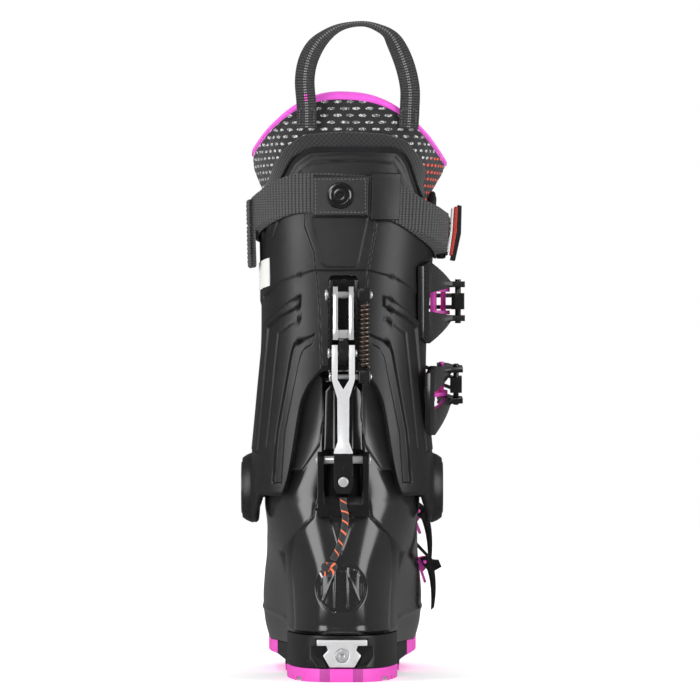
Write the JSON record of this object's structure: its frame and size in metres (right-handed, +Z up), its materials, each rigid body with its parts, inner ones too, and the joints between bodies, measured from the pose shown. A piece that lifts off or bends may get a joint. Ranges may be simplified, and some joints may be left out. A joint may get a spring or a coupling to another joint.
{
  "type": "alpine touring boot",
  "caption": "Alpine touring boot, right foot: hinged cuff on a lower shell, ski/walk lever, buckles, power strap, soft liner and lugged sole.",
  "frame": {"origin": "centre of the heel tread's flat face, on the ground", "axes": "+X to the lateral (outer) side of the foot, +Y to the toe, +Z up"},
  "size_m": [0.137, 0.3103, 0.4003],
  "materials": {
    "gloss_black": "smooth gloss",
    "black_plastic": "fine satin grain",
    "lever_grey": "satin",
    "pink_plastic": "satin",
    "sole_rubber": "matt",
    "steel": "polished",
    "dark_steel": "black satin",
    "spring_steel": "bronze grey",
    "liner_fabric": "woven",
    "pink_binding": "smooth",
    "footbed_foam": "felt",
    "cord_fabric": "braided, orange flecks"
  },
  "bodies": {
    "shell": {"lower_shell": "gloss_black", "instep_flap": "gloss_black", "heel_tread": "pink_plastic", "heel_block": "sole_rubber", "heel_insert": "steel", "heel_insert_screw": "steel", "toe_insert": "steel", "fore_sole": "pink_plastic", "arch_sole": "sole_rubber", "boot_board": "lever_grey", "medial_pivot_nut": "steel", "lateral_pivot_nut": "steel", "heel_bracket": "gloss_black", "bracket_bar": "steel", "liner_foot": "liner_fabric", "footbed": "footbed_foam", "instep_buckle_base": "pink_plastic", "forefoot_buckle_base": "pink_plastic", "instep_ladder": "black_plastic", "forefoot_ladder": "black_plastic"},
    "cuff": {"cuff": "black_plastic", "front_wing": "black_plastic", "medial_pivot_disc": "dark_steel", "lateral_pivot_disc": "dark_steel", "lever_seat": "dark_steel", "link_pin": "steel", "spring_end_upper": "dark_steel", "lever_spring": "spring_steel", "liner_cuff": "liner_fabric", "liner_binding": "pink_binding", "liner_tongue": "liner_fabric", "felt_collar": "liner_fabric", "pull_loop": "liner_fabric", "power_strap": "liner_fabric", "strap_patch": "black_plastic", "strap_keeper": "liner_fabric", "strap_tab": "liner_fabric", "strap_buckle": "black_plastic", "upper_cuff_buckle_base": "pink_plastic", "lower_cuff_buckle_base": "pink_plastic", "upper_cuff_ladder": "black_plastic", "lower_cuff_ladder": "black_plastic"},
    "toggle_link": {"link_plates": "steel", "link_bolt": "dark_steel", "link_carrier": "dark_steel", "lever_pin": "steel"},
    "walk_lever": {"walk_lever": "steel", "spring_pin": "steel", "spring_end_lower": "dark_steel", "cord_screw": "steel"},
    "cord": {"pull_cord": "cord_fabric", "cord_knot": "cord_fabric"},
    "upper_cuff_lever": {"upper_cuff_buckle_lever": "lever_grey"},
    "upper_cuff_bail": {"upper_cuff_bail": "steel"},
    "lower_cuff_lever": {"lower_cuff_buckle_lever": "lever_grey"},
    "lower_cuff_bail": {"lower_cuff_bail": "steel"},
    "instep_lever": {"instep_buckle_lever": "lever_grey"},
    "instep_bail": {"instep_bail": "steel"},
    "forefoot_lever": {"forefoot_buckle_lever": "lever_grey"},
    "forefoot_bail": {"forefoot_bail": "steel"}
  },
  "joints": [
    {"name": "cuff_hinge", "type": "hinge", "parent": "shell", "child": "cuff", "pos_m": [0, 0.022, 0.116], "axis": [1, 0, 0], "range_deg": [-20, 12], "deforming": ["liner_cuff", "liner_binding", "liner_tongue", "liner_foot", "pull_loop", "felt_collar", "pull_cord", "cord_knot"]},
    {"name": "link_hinge", "type": "hinge", "parent": "cuff", "child": "toggle_link", "pos_m": [0.0008, -0.05, 0.233], "axis": [-1, 0, 0], "range_deg": [0, 16]},
    {"name": "lever_hinge", "type": "hinge", "parent": "toggle_link", "child": "walk_lever", "pos_m": [0.0008, -0.057, 0.198], "axis": [-1, 0, 0], "range_deg": [0, 125], "deforming": ["lever_spring"]},
    {"name": "cord_swing", "type": "hinge", "parent": "walk_lever", "child": "cord", "pos_m": [0.0008, -0.058, 0.1115], "axis": [-1, 0, 0], "range_deg": [-138, 0]},
    {"name": "upper_cuff_lever_hinge", "type": "hinge", "parent": "cuff", "child": "upper_cuff_lever", "pos_m": [0.0622, 0.04945, 0.23012], "axis": [-0.0014, -0.0199, 0.9998], "range_deg": [0, 110]},
    {"name": "upper_cuff_bail_hinge", "type": "hinge", "parent": "upper_cuff_lever", "child": "upper_cuff_bail", "pos_m": [0.07116, 0.04281, 0.23], "axis": [-0.0014, -0.0199, 0.9998], "range_deg": [-150, 0]},
    {"name": "lower_cuff_lever_hinge", "type": "hinge", "parent": "cuff", "child": "lower_cuff_lever", "pos_m": [0.06104, 0.04351, 0.18021], "axis": [0, -0.2149, 0.9766], "range_deg": [0, 110]},
    {"name": "lower_cuff_bail_hinge", "type": "hinge", "parent": "lower_cuff_lever", "child": "lower_cuff_bail", "pos_m": [0.06988, 0.038, 0.179], "axis": [0, -0.2149, 0.9766], "range_deg": [-150, 0]},
    {"name": "instep_lever_hinge", "type": "hinge", "parent": "shell", "child": "instep_lever", "pos_m": [0.04734, 0.092, 0.1], "axis": [0, -1, 0], "range_deg": [0, 110]},
    {"name": "instep_bail_hinge", "type": "hinge", "parent": "instep_lever", "child": "instep_bail", "pos_m": [0.05522, 0.092, 0.09842], "axis": [0, -1, 0], "range_deg": [-150, 0]},
    {"name": "forefoot_lever_hinge", "type": "hinge", "parent": "shell", "child": "forefoot_lever", "pos_m": [0.05192, 0.15, 0.06633], "axis": [0, -1, 0], "range_deg": [0, 110]},
    {"name": "forefoot_bail_hinge", "type": "hinge", "parent": "forefoot_lever", "child": "forefoot_bail", "pos_m": [0.05906, 0.15, 0.06452], "axis": [0, -1, 0], "range_deg": [-150, 0]}
  ],
  "couplings": [
    {"joint": "link_hinge", "follows": "lever_hinge", "ratio": 0.1},
    {"joint": "cord_swing", "follows": "lever_hinge", "ratio": -1.1},
    {"joint": "upper_cuff_bail_hinge", "follows": "upper_cuff_lever_hinge", "ratio": -1.3},
    {"joint": "lower_cuff_bail_hinge", "follows": "lower_cuff_lever_hinge", "ratio": -1.3},
    {"joint": "instep_bail_hinge", "follows": "instep_lever_hinge", "ratio": -1.3},
    {"joint": "forefoot_bail_hinge", "follows": "forefoot_lever_hinge", "ratio": -1.3}
  ]
}
